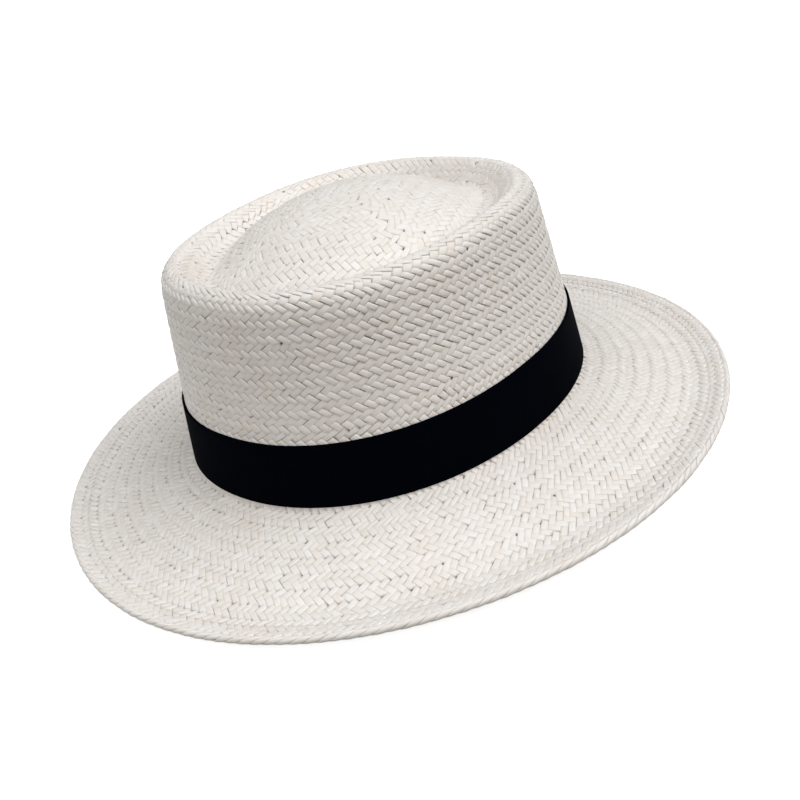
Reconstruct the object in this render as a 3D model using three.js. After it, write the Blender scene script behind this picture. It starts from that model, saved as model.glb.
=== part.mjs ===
// A straw gambler hat: an oval telescope crown and a wide flat brim with a turned-under hem, woven as one
// piece of straw, with a grosgrain ribbon round the foot of the crown.
//
// Millimetres, +Z up. The origin is on the surface that the hat rests on, under the middle of the crown.
// The front of the hat looks along -Y, and the wearer's left is +X.
import * as THREE from 'three';

// ---- driving dimensions -------------------------------------------------------------------------------

const CROWN_HEIGHT = 91.7;      // crown foot to crest
const CROWN_LEAN = 1.4;         // how far the top of the crown sits ahead of its foot
const FRONT_DIP = 3.6;          // how much lower the crest is at the front than at the back
const FOOT_HALF_LENGTH = 100.2; // outside of the straw at the crown foot, along Y
const FOOT_HALF_WIDTH = 91.4;   // the same along X
const BRIM_HALF_LENGTH = 165.5; // outside of the rolled brim edge, along Y
const BRIM_HALF_WIDTH = 158.7;  // the same along X
const BRIM_DROP = 10.4;         // crown foot down to the top of the brim edge, at front and back
const SIDE_LIFT = 3.2;          // how much higher the brim edge is at the two sides
const WALL = 1.8;               // thickness of the woven straw

const HEM_WIDTH = 9.0;          // rolled edge to the cut end of the turned-under straw
const HEM_THICKNESS = 3.0;      // straw and turned-under straw, pressed flat
const HEM_END_THICKNESS = 2.7;  // the same at the cut end, where the stitching pulls it tight
const HEM_TAPER = 1.8;          // run in which the cut end thickens to the full hem
const CURL_WIDTH = 14.0;        // outer zone of the brim that curls up
const CURL_RISE = 3.1;          // rise of the edge over that zone

const RIBBON_HEIGHT = 28.8;
const RIBBON_THICKNESS = 1.0;
const RIBBON_GAP = 0.3;         // clearance between ribbon and straw
const RIBBON_FOOT = 1.1;        // crown foot to the ribbon's lower edge
const LAP_START = 150;          // degrees round from the wearer's left, behind the right temple:
const LAP_END = 164;            // the stretch where one end of the ribbon lies over the other
const LAP_RAMP = 3;             // degrees in which the upper end climbs onto the lower one
const LAP_STEP = 0.6;           // degrees in which its folded end drops off again

const SEGMENTS = 60;            // facets round the hat, with one centred on each of front, back and sides
const FOLD_ROWS = 3;            // rows round the rolled edge

// ---- profile of the straw -----------------------------------------------------------------------------

const FOLD_RADIUS = HEM_THICKNESS / 2;

// A corner of the brim's outer zone, `inset` inside the start of the rolled edge.
function curledCorner(name, inset) {
  return {
    name,
    length: BRIM_HALF_LENGTH - FOLD_RADIUS - inset,
    width: BRIM_HALF_WIDTH - FOLD_RADIUS - inset,
    height: -BRIM_DROP - (CURL_RISE * inset) / CURL_WIDTH,
    square: 2,
    crown: 0,
    dip: 0,
    lift: 1,
  };
}

// The outside of the straw, from the centre of the crown top to the rolled edge. `length` and `width` are
// the half axes of the oval, `height` is from the crown foot, and `square` is the exponent of the oval (2
// is an ellipse, more is squarer). `crown` is the share of the crown's lean, `dip` of its front dip and
// `lift` of the brim's side lift. The corner is rounded off from `before` to `after`, lengths on each side
// of it, in `steps` rows. `between` counts the rows on the straight run that leads to it.
const H = CROWN_HEIGHT;
const CORNERS = [
  { name: 'centre', length: 0, width: 0, height: H + 11.2, square: 2.1, crown: 1, dip: 0, lift: 0 },
  { name: 'dome', length: 38, width: 34, height: H + 11, square: 2.1, crown: 1, dip: 0.3, lift: 0,
    before: 36, after: 31, steps: 5 },
  { name: 'channel', length: 67.2, width: 60.6, height: H - 11.5, square: 2.2, crown: 1, dip: 0.8, lift: 0,
    before: 5, after: 4.5, steps: 3 },
  { name: 'ridge', length: 74.3, width: 71, height: H + 1.3, square: 2.35, crown: 1, dip: 1, lift: 0,
    before: 7, after: 3.4, steps: 3 },
  { name: 'crest', length: 83.3, width: 80, height: H - 0.4, square: 2.38, crown: 1, dip: 1, lift: 0,
    before: 5.5, after: 10, steps: 5 },
  { name: 'foot', length: FOOT_HALF_LENGTH, width: FOOT_HALF_WIDTH, height: 0, square: 2.09,
    crown: 0, dip: 0, lift: 0, before: 1.4, after: 1.4, steps: 2, between: 2 },
  { ...curledCorner('curl', CURL_WIDTH), before: 4.6, after: 4.6, steps: 2, between: 2 },
  curledCorner('hem end', HEM_WIDTH),
  curledCorner('hem full', HEM_WIDTH - HEM_TAPER),
  curledCorner('edge', 0),
];

const SHAPE_FIELDS = ['length', 'width', 'height', 'square', 'crown', 'dip', 'lift'];

// The station part of the way from one to another.
function mix(from, to, share) {
  const station = {};
  for (const field of SHAPE_FIELDS) station[field] = from[field] + (to[field] - from[field]) * share;
  return station;
}

// The station on the run from a corner to another one, `distance` from the corner.
function towards(corner, other, distance) {
  const gap = Math.hypot(other.length - corner.length, other.height - corner.height);
  return mix(corner, other, distance / gap);
}

// The rows of the outside: straight runs between the corners, and a parabola through each rounded corner.
function strawStations() {
  const stations = [CORNERS[0]];
  for (let i = 1; i < CORNERS.length; i++) {
    const { before = 0, after = 0, steps = 0, between = 0 } = CORNERS[i];
    const corner = CORNERS[i];
    const start = stations.at(-1);
    const entry = before ? towards(corner, CORNERS[i - 1], before) : corner;
    const exit = after ? towards(corner, CORNERS[i + 1], after) : corner;
    for (let k = 1; k <= between; k++) stations.push(mix(start, entry, k / (between + 1)));
    stations.push(entry);
    for (let k = 1; k <= steps; k++) {
      const share = k / steps;
      stations.push(mix(mix(entry, corner, share), mix(corner, exit, share), share));
    }
  }
  return stations;
}

// ---- surface ------------------------------------------------------------------------------------------

const radians = THREE.MathUtils.degToRad;

// The point of a station's oval at an angle in degrees, counted from the wearer's left towards the back.
function ovalPoint(station, angle) {
  const cos = Math.cos(radians(angle));
  const sin = Math.sin(radians(angle));
  const n = station.square;
  const reach = (Math.abs(cos) / station.width) ** n + (Math.abs(sin) / station.length) ** n;
  const radius = station.length ? reach ** (-1 / n) : 0;
  const rise = station.lift * SIDE_LIFT * (1 - sin ** 4) - station.dip * FRONT_DIP * ((1 - sin) / 2) ** 3;
  return new THREE.Vector3(radius * cos, radius * sin - station.crown * CROWN_LEAN, station.height + rise);
}

// The point, the outward normal and the direction down the profile, at one station and angle.
function surfaceFrame(stations, index, angle) {
  const station = stations[index];
  const point = ovalPoint(station, angle);
  const before = ovalPoint(stations[Math.max(index - 1, 0)], angle);
  const after = ovalPoint(stations[Math.min(index + 1, stations.length - 1)], angle);
  const down = after.sub(before).normalize();
  const around = ovalPoint(station, angle + 0.5).sub(ovalPoint(station, angle - 0.5));
  const normal = new THREE.Vector3().crossVectors(down, around).normalize();
  return { point, normal, down };
}

const ANGLES = Array.from({ length: SEGMENTS }, (_, i) => ((i + 0.5) * 360) / SEGMENTS);

// A ring of points round the hat, `depth` under the outside of the straw.
function ring(stations, index, depth, angles = ANGLES) {
  return angles.map((angle) => {
    const { point, normal } = surfaceFrame(stations, index, angle);
    return point.addScaledVector(normal, -depth);
  });
}

// A closed skin through rings of points. The rings run down the outside and back up the inside. A ring of
// one point is a tip, and without tips the last ring joins the first.
function skin(rings) {
  const points = rings.flat();
  const starts = rings.map((_, r) => rings.slice(0, r).reduce((sum, row) => sum + row.length, 0));
  const columns = Math.max(...rings.map((row) => row.length));
  const joins = rings[0].length === 1 ? rings.length - 1 : rings.length;
  const index = [];
  for (let r = 0; r < joins; r++) {
    const next = (r + 1) % rings.length;
    for (let i = 0; i < columns; i++) {
      const a = starts[r] + (i % rings[r].length);
      const b = starts[next] + (i % rings[next].length);
      const c = starts[next] + ((i + 1) % rings[next].length);
      const d = starts[r] + ((i + 1) % rings[r].length);
      if (b !== c) index.push(a, b, c);
      if (a !== d) index.push(a, c, d);
    }
  }
  const geometry = new THREE.BufferGeometry().setFromPoints(points);
  geometry.setIndex(index);
  geometry.computeVertexNormals();
  return geometry;
}

// ---- pieces -------------------------------------------------------------------------------------------

// Half a turn of rings round the edge of the brim, from its top to its underside.
function foldRings(stations) {
  const last = stations.length - 1;
  return Array.from({ length: FOLD_ROWS }, (_, row) => {
    const turn = (Math.PI * (row + 1)) / (FOLD_ROWS + 1);
    return ANGLES.map((angle) => {
      const { point, normal, down } = surfaceFrame(stations, last, angle);
      point.addScaledVector(normal, FOLD_RADIUS * (Math.cos(turn) - 1));
      return point.addScaledVector(down, FOLD_RADIUS * Math.sin(turn));
    });
  });
}

// Crown and brim: the outside, the rolled edge, the hem's underside, and the inside of the straw. The hem's
// taper is level across, and the hat rests on it.
function strawBody() {
  const stations = strawStations();
  const last = stations.length - 1;
  const hemEnd = stations.findIndex((station) => station.name === 'hem end');
  const tip = ovalPoint(stations[0], 0);

  const outside = [];
  for (let i = 1; i <= last; i++) outside.push(ring(stations, i, 0));

  const hem = [];
  for (let i = last; i > hemEnd; i--) hem.push(ring(stations, i, HEM_THICKNESS));
  const taper = ring(stations, hemEnd, HEM_END_THICKNESS);
  hem.at(-1).forEach((point, i) => { point.z = taper[i].z; });

  const inside = [];
  for (let i = hemEnd; i > 0; i--) inside.push(ring(stations, i, WALL));
  const innerTip = tip.clone().setZ(tip.z - WALL);

  return skin([[tip], ...outside, ...foldRings(stations), ...hem, taper, ...inside, [innerTip]]);
}

// Layers of ribbon at an angle: two in the lap, with a slope up to it and a drop at its folded end.
function ribbonLayers(angle) {
  const climb = THREE.MathUtils.smoothstep(angle, LAP_START - LAP_RAMP, LAP_START);
  const drop = THREE.MathUtils.smoothstep(angle, LAP_END, LAP_END + LAP_STEP);
  return 1 + climb - drop;
}

// The ribbon: a band that lies on the slanting wall, with its lap.
function ribbonBand() {
  const foot = CORNERS.find((corner) => corner.name === 'foot');
  const crest = CORNERS.find((corner) => corner.name === 'crest');
  const onWall = (height) => mix(foot, crest, height / crest.height);
  const edges = [onWall(RIBBON_FOOT + RIBBON_HEIGHT), onWall(RIBBON_FOOT)];
  const lapAngles = [LAP_START - LAP_RAMP, LAP_START, LAP_END, LAP_END + LAP_STEP];
  const angles = [...ANGLES, ...lapAngles].sort((a, b) => a - b);

  const offsetRing = (edge, lift) => angles.map((angle) => {
    const { point, normal } = surfaceFrame(edges, edge, angle);
    return point.addScaledVector(normal, lift(angle));
  });
  const face = (angle) => RIBBON_GAP + RIBBON_THICKNESS * ribbonLayers(angle);
  const back = () => RIBBON_GAP;
  return skin([offsetRing(0, face), offsetRing(1, face), offsetRing(1, back), offsetRing(0, back)]);
}

// ---- assembly -----------------------------------------------------------------------------------------

const straw = new THREE.MeshStandardMaterial({ color: '#e4dfd6', roughness: 0.62, metalness: 0 });
const grosgrain = new THREE.MeshStandardMaterial({ color: '#15161b', roughness: 0.8, metalness: 0 });

const body = new THREE.Mesh(strawBody(), straw);
body.name = 'straw_body';
const ribbon = new THREE.Mesh(ribbonBand(), grosgrain);
ribbon.name = 'ribbon_band';

// The pieces are built with the crown foot at zero, and stand on the lowest part of the hem.
const standing = new THREE.Group();
standing.add(body, ribbon);
body.geometry.computeBoundingBox();
standing.position.z = -body.geometry.boundingBox.min.z;

const hat = new THREE.Group();
hat.add(standing);

export default hat;
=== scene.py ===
"""A straw gambler hat, dressed: herringbone straw, a turned-under hem and a grosgrain ribbon.

Sizes in the classes are millimetres, as a hat maker would give them. Blender's own coordinates are metres.
The front of the hat looks along -Y, and the wearer's left is +X. A place on the straw is given by its turn,
the share of a whole turn counted from the wearer's left towards the back, and by its distance along the
profile from the centre of the crown.
"""

import logging
import math
from dataclasses import dataclass, field
from enum import Enum
from typing import Callable

import bpy
import numpy as np
from mathutils import Matrix, Vector


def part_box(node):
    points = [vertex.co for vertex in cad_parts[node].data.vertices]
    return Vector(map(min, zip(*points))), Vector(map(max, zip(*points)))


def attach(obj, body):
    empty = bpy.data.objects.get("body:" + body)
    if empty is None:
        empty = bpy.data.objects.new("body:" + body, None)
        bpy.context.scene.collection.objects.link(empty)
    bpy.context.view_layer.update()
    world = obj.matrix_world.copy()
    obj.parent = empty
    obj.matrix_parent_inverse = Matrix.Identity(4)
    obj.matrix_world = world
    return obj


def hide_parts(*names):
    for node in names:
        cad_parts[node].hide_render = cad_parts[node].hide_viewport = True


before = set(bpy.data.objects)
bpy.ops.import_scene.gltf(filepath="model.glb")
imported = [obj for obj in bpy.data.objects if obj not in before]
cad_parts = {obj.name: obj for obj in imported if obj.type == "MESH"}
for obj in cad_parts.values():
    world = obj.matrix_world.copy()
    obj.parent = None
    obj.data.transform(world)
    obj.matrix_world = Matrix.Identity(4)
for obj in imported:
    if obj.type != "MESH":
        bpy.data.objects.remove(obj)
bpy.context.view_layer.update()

MM = 0.001
SEED = 11
MAP_SPREAD = 900  # how far apart two strands' maps may lie, so that no two show the same fibres
log = logging.getLogger("straw_hat")


# ---- shape of the straw -----------------------------------------------------------------------------------


@dataclass(frozen=True)
class Corner:
    """One corner of the straw's profile, in millimetres from the crown's foot.

    Attributes:
        name: What the corner is.
        length: Half the oval's length, front to back.
        width: Half the oval's width, side to side.
        height: Height over the crown's foot.
        square: Exponent of the oval: 2 is an ellipse, and more is squarer.
        crown: Share of the crown's forward lean.
        dip: Share of the crown's dip at the front.
        lift: Share of the brim's lift at the sides.
        before: Where the rounding starts, ahead of the corner.
        after: Where the rounding ends, past the corner.
    """

    name: str
    length: float
    width: float
    height: float
    square: float = 2.0
    crown: float = 0.0
    dip: float = 0.0
    lift: float = 0.0
    before: float = 0.0
    after: float = 0.0

    def values(self) -> np.ndarray:
        """Returns the numbers that a profile is mixed from."""
        return np.array([self.length, self.width, self.height, self.square, self.crown, self.dip, self.lift])


@dataclass(frozen=True)
class HatSizes:
    """The driving sizes of the straw, the same as the solid's."""

    crown_height: float = 91.7
    crown_lean: float = 1.4
    front_dip: float = 3.6
    foot_half_length: float = 100.2
    foot_half_width: float = 91.4
    brim_half_length: float = 165.5
    brim_half_width: float = 158.7
    brim_drop: float = 10.4
    side_lift: float = 3.2
    dome_rise: float = 11.2
    wall: float = 1.8
    hem_width: float = 9.0
    hem_thickness: float = 3.0
    curl_width: float = 14.0
    curl_rise: float = 3.1

    @property
    def fold_radius(self) -> float:
        """Returns the radius of the rolled edge."""
        return self.hem_thickness / 2

    def curled(self, name: str, inset: float, rounding: float = 0.0) -> Corner:
        """Gives a corner in the brim's outer zone, which curls up.

        Args:
            name: What the corner is.
            inset: How far inside the start of the rolled edge it is.
            rounding: How far the rounding reaches on each side.

        Returns:
            The corner.
        """
        return Corner(
            name,
            length=self.brim_half_length - self.fold_radius - inset,
            width=self.brim_half_width - self.fold_radius - inset,
            height=-self.brim_drop - self.curl_rise * inset / self.curl_width,
            lift=1.0,
            before=rounding,
            after=rounding,
        )

    def corners(self) -> list[Corner]:
        """Returns the profile's corners, from the centre of the crown to the rolled edge."""
        top = self.crown_height
        foot = Corner("foot", self.foot_half_length, self.foot_half_width, 0, 2.09, before=1.4, after=1.4)
        return [
            Corner("centre", 0, 0, top + self.dome_rise, 2.1, crown=1),
            Corner("dome", 38, 34, top + self.dome_rise - 0.2, 2.1, crown=1, dip=0.3, before=36, after=31),
            Corner("channel", 67.2, 60.6, top - 11.5, 2.2, crown=1, dip=0.8, before=5, after=4.5),
            Corner("ridge", 74.3, 71, top + 1.3, 2.35, crown=1, dip=1, before=7, after=3.4),
            Corner("crest", 83.3, 80, top - 0.4, 2.38, crown=1, dip=1, before=5.5, after=10),
            foot,
            self.curled("curl", self.curl_width, rounding=4.6),
            self.curled("edge", 0),
        ]


def mix(start: np.ndarray, end: np.ndarray, share: float) -> np.ndarray:
    """Returns the values part of the way from one set to another."""
    return start + (end - start) * share


def between(grid: np.ndarray, row: np.ndarray, column: np.ndarray) -> np.ndarray:
    """Returns a grid's values between its rows and columns."""
    r = np.minimum(row.astype(int), grid.shape[0] - 2)
    c = np.minimum(column.astype(int), grid.shape[1] - 2)
    fr, fc = row - r, column - c
    if grid.ndim > 2:
        fr, fc = fr[..., None], fc[..., None]
    near = grid[r, c] * (1 - fc) + grid[r, c + 1] * fc
    far = grid[r + 1, c] * (1 - fc) + grid[r + 1, c + 1] * fc
    return near * (1 - fr) + far * fr


class StrawSurface:
    """The outside of the straw as a grid, from which any place on it is read."""

    COLUMNS = 720
    RUN_STEP = 0.5
    ROUND_STEPS = 14

    def __init__(self, sizes: HatSizes, foot_height: float) -> None:
        """Builds the grid.

        Args:
            sizes: The hat's sizes.
            foot_height: Height of the crown's foot over what the hat rests on, in millimetres.
        """
        self.sizes = sizes
        self.foot_height = foot_height
        self.marks: dict[str, float] = {}
        stations = self._stations()
        turns = np.linspace(0, 1, self.COLUMNS + 1)
        angles = self._even_angles(stations, turns)
        self.points = self.oval(stations[:, None, :], angles)
        down = np.gradient(self.points, axis=0)
        around = np.gradient(self.points, axis=1)
        around[:, 0] = around[:, -1] = self.points[:, 1] - self.points[:, -2]
        normals = np.cross(down, around)
        normals[0] = (0, 0, 1)
        self.normals = normals / np.linalg.norm(normals, axis=2, keepdims=True)
        self.downs = down / np.linalg.norm(down, axis=2, keepdims=True)
        self.girth = np.linalg.norm(np.diff(self.points, axis=1), axis=2).sum(1)

    def _stations(self) -> np.ndarray:
        """Returns the rows of the profile, and notes how far along it each corner and each row is."""
        corners = self.sizes.corners()
        values = [corner.values() for corner in corners]
        rows = [values[0]]
        marked = {corners[0].name: 0}
        for i in range(1, len(corners)):
            corner = values[i]
            entry = self._towards(corner, values[i - 1], corners[i].before)
            steps = max(1, round(self._gap(rows[-1], entry) / self.RUN_STEP))
            start = rows[-1]
            rows += [mix(start, entry, k / steps) for k in range(1, steps + 1)]
            marked[corners[i].name] = len(rows) - 1
            if corners[i].after:
                leave = self._towards(corner, values[i + 1], corners[i].after)
                shares = [k / self.ROUND_STEPS for k in range(1, self.ROUND_STEPS + 1)]
                rows += [mix(mix(entry, corner, s), mix(corner, leave, s), s) for s in shares]
                marked[corners[i].name] += self.ROUND_STEPS // 2
        stations = np.array(rows)
        across = (stations[:, 0] + stations[:, 1]) / 2
        lengths = np.hypot(np.diff(across), np.diff(stations[:, 2]))
        self.along = np.concatenate([[0.0], np.cumsum(lengths)])
        self.marks = {name: float(self.along[row]) for name, row in marked.items()}
        return stations

    @staticmethod
    def _gap(start: np.ndarray, end: np.ndarray) -> float:
        """Returns the distance between two rows, at the front of the hat."""
        return math.hypot(end[0] - start[0], end[2] - start[2])

    def _towards(self, corner: np.ndarray, other: np.ndarray, distance: float) -> np.ndarray:
        """Returns the row on the run from a corner to another one, so far from the corner."""
        return mix(corner, other, distance / self._gap(corner, other)) if distance else corner

    def oval(self, station: np.ndarray, angle: np.ndarray) -> np.ndarray:
        """Gives the points of an oval.

        Args:
            station: The profile's values, in the last axis.
            angle: Angles in radians from the wearer's left towards the back.

        Returns:
            Points in millimetres, on the outside of the straw.
        """
        length, width, height, square, crown, dip, lift = np.moveaxis(station, -1, 0)
        cos, sin = np.cos(angle), np.sin(angle)
        safe_width, safe_length = np.maximum(width, 1e-6), np.maximum(length, 1e-6)
        reach = (np.abs(cos) / safe_width) ** square + (np.abs(sin) / safe_length) ** square
        radius = reach ** (-1 / square)
        rise = lift * self.sizes.side_lift * (1 - sin**4)
        rise = rise - dip * self.sizes.front_dip * ((1 - sin) / 2) ** 3
        y = radius * sin - crown * self.sizes.crown_lean
        return np.stack(np.broadcast_arrays(radius * cos, y, height + rise + self.foot_height), -1)

    def _even_angles(self, stations: np.ndarray, turns: np.ndarray) -> np.ndarray:
        """Returns the angles, for each row, that divide its girth as the turns say."""
        fine = np.linspace(0, 2 * math.pi, 2 * self.COLUMNS + 1)
        rings = self.oval(stations[:, None, :], fine)
        steps = np.linalg.norm(np.diff(rings, axis=1), axis=2)
        reach = np.concatenate([np.zeros((len(stations), 1)), np.cumsum(steps, axis=1)], axis=1)
        shares = reach / np.maximum(reach[:, -1:], 1e-9)
        shares[0] = fine / fine[-1]
        return np.array([np.interp(turns, share, fine) for share in shares])

    def _read(self, grid: np.ndarray, turn: np.ndarray, along: np.ndarray) -> np.ndarray:
        """Returns one of the surface's grids at places on the straw."""
        row = np.interp(along, self.along, np.arange(len(self.along)))
        return between(grid, row, np.mod(turn, 1.0) * self.COLUMNS)

    def at(self, turn: np.ndarray, along: np.ndarray, lift: np.ndarray | float) -> np.ndarray:
        """Gives places on or near the straw.

        Args:
            turn: Shares of a turn.
            along: Distances from the centre of the crown, in millimetres.
            lift: Heights over the outside of the straw, in millimetres; the inside is negative.

        Returns:
            Points in metres.
        """
        turn, along, lift = np.broadcast_arrays(turn, along, lift)
        points = self._read(self.points, turn, along)
        normals = self._read(self.normals, turn, along)
        normals = normals / np.linalg.norm(normals, axis=-1, keepdims=True)
        return (points + normals * lift[..., None]) * MM

    def round_edge(self, turn: np.ndarray, past: np.ndarray, lift: np.ndarray) -> np.ndarray:
        """Gives places on the rolled edge and on the hem's underside.

        Args:
            turn: Shares of a turn.
            past: Distances past the start of the rolled edge, round it and then back inwards.
            lift: Heights over the surface.

        Returns:
            Points in metres.
        """
        turn, past, lift = np.broadcast_arrays(turn, past, lift)
        radius = self.sizes.fold_radius
        edge = np.full(turn.shape, self.marks["edge"])
        normal = self._read(self.normals, turn, edge)
        down = self._read(self.downs, turn, edge)
        centre = self._read(self.points, turn, edge) - normal * radius
        bend = np.clip(past / radius, 0, math.pi)[..., None]
        reach = (radius + lift)[..., None]
        folded = (centre + reach * (np.cos(bend) * normal + np.sin(bend) * down)) * MM
        back = np.maximum(past - math.pi * radius, 0)
        under = self.at(turn, self.marks["edge"] - back, -(2 * radius + lift))
        return np.where((back > 0)[..., None], under, folded)

    def girth_at(self, along: float) -> float:
        """Returns the length of the ring so far along the profile, in millimetres."""
        return float(np.interp(along, self.along, self.girth))


# ---- plan of the weave ------------------------------------------------------------------------------------


class Lean(Enum):
    """Which way the spans of a ring lean, from the crown's centre outwards."""

    AGAINST = 0
    WITH = 1


@dataclass(frozen=True)
class WeaveZone:
    """Sizes of the weave at one place along the profile.

    Attributes:
        mark: The corner of the profile that the sizes hold at.
        ring: Height of one ring of spans.
        pitch: Distance from span to span round the ring.
        relief: Share of the full depth to which the spans are pillowed.
        cover: Width of a span, as a share of the room that it has.
        lead: How far the spans that lean with the turn stand over the others, in millimetres.
        holes: Share of the spans that leave a pinhole at one end.
        shade: How dark the painted shade in the crevices between the spans is, as a share of the darkest.
        skew: How much wider the pitch is where the weave is loosest, as a share.
        past: How far past the corner the sizes hold, in millimetres.
    """

    mark: str
    ring: float
    pitch: float
    relief: float
    cover: float
    lead: float
    holes: float
    shade: float
    skew: float = 0.0
    past: float = 0.0


@dataclass
class Ring:
    """One ring of spans. The lines are the turns at which its spans are, in order round the hat, and the new
    ones among them are those whose strands come in there."""

    along: float
    outer: float
    inner: float
    lean: Lean
    here: np.ndarray
    new: np.ndarray
    outward: np.ndarray = field(default_factory=lambda: np.zeros(0))
    inward: np.ndarray = field(default_factory=lambda: np.zeros(0))

    @staticmethod
    def _between(lines: np.ndarray, x: np.ndarray) -> np.ndarray:
        """Returns the turn at a line number, which may lie between two lines or past the last."""
        whole = np.floor(x).astype(int)
        part = x - whole
        count = len(lines)
        low = lines[whole % count] + whole // count
        high = lines[(whole + 1) % count] + (whole + 1) // count
        return low * (1 - part) + high * part

    def place(self, x: np.ndarray, t: np.ndarray) -> tuple[np.ndarray, np.ndarray]:
        """Finds a place in the ring's lattice.

        Args:
            x: Line numbers, counted round the ring.
            t: Share of the way to the next ring out, or to the one inside where it is negative.

        Returns:
            The turns, and the distances along the profile.
        """
        here = self._between(self.here, x)
        other = np.where(t > 0, self._between(self.outward, x), self._between(self.inward, x))
        along = self.along + np.where(t > 0, t * self.outer, t * self.inner)
        return here + np.abs(t) * (other - here), along


class SquareStart:
    """The start of the weave: its first strands cross squarely at the centre of the crown, a little askew to
    the head, so its first rings are rounded squares. They turn into the hat's own ovals by the ridge."""

    TURNED = 29 / 360  # turn of the middle of one of the square's sides
    CORNER = 1 / 8  # from there to a corner
    SQUARE = 5.0
    SQUARE_SHARE = 0.5
    ROWS = 60
    COLUMNS = 360

    def __init__(self, reach: float) -> None:
        """Works out the rounded squares.

        Args:
            reach: Where the rings are ovals again, as a distance along the profile, in millimetres.
        """
        self.reach = reach
        out = np.linspace(0, 1, self.ROWS + 1)
        grown = np.clip((out - self.SQUARE_SHARE) / (1 - self.SQUARE_SHARE), 0, 1)
        square = mix(self.SQUARE, 2.0, grown**2 * (3 - 2 * grown))[:, None]
        angle = np.linspace(0, 2 * math.pi, self.COLUMNS + 1)
        radius = (np.abs(np.cos(angle)) ** square + np.abs(np.sin(angle)) ** square) ** (-1 / square)
        radius /= radius[:, :-1].mean(1, keepdims=True)
        ring = radius * np.exp(1j * angle)
        steps = np.cumsum(np.abs(np.diff(ring)), axis=1)
        length = np.concatenate([np.zeros((self.ROWS + 1, 1)), steps], axis=1)
        shares = length / length[:, -1:]
        even = angle / (2 * math.pi)
        self.turns = np.array([np.interp(even, share, even) for share in shares])
        self.radii = np.array([np.interp(even, share, row) for share, row in zip(shares, radius)])

    def place(self, turn: np.ndarray, along: np.ndarray) -> tuple[np.ndarray, np.ndarray]:
        """Moves places from the weave's own rings to the straw.

        Args:
            turn: Shares of the ring's length.
            along: Mean distances of the rings from the centre, along the profile.

        Returns:
            The turns, and the distances along the profile.
        """
        whole = np.floor(turn - self.TURNED)
        column = (turn - self.TURNED - whole) * self.COLUMNS
        row = np.clip(along / self.reach, 0, 1) * self.ROWS
        moved = self.TURNED + whole + between(self.turns, row, column)
        return moved, along * between(self.radii, row, column)

    def to_corner(self, turn: np.ndarray) -> np.ndarray:
        """Returns how far turns are from the nearest corner, in quarters of a turn."""
        quarters = (turn - self.TURNED) * 4 - 0.5
        return np.abs(quarters - np.rint(quarters))


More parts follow.
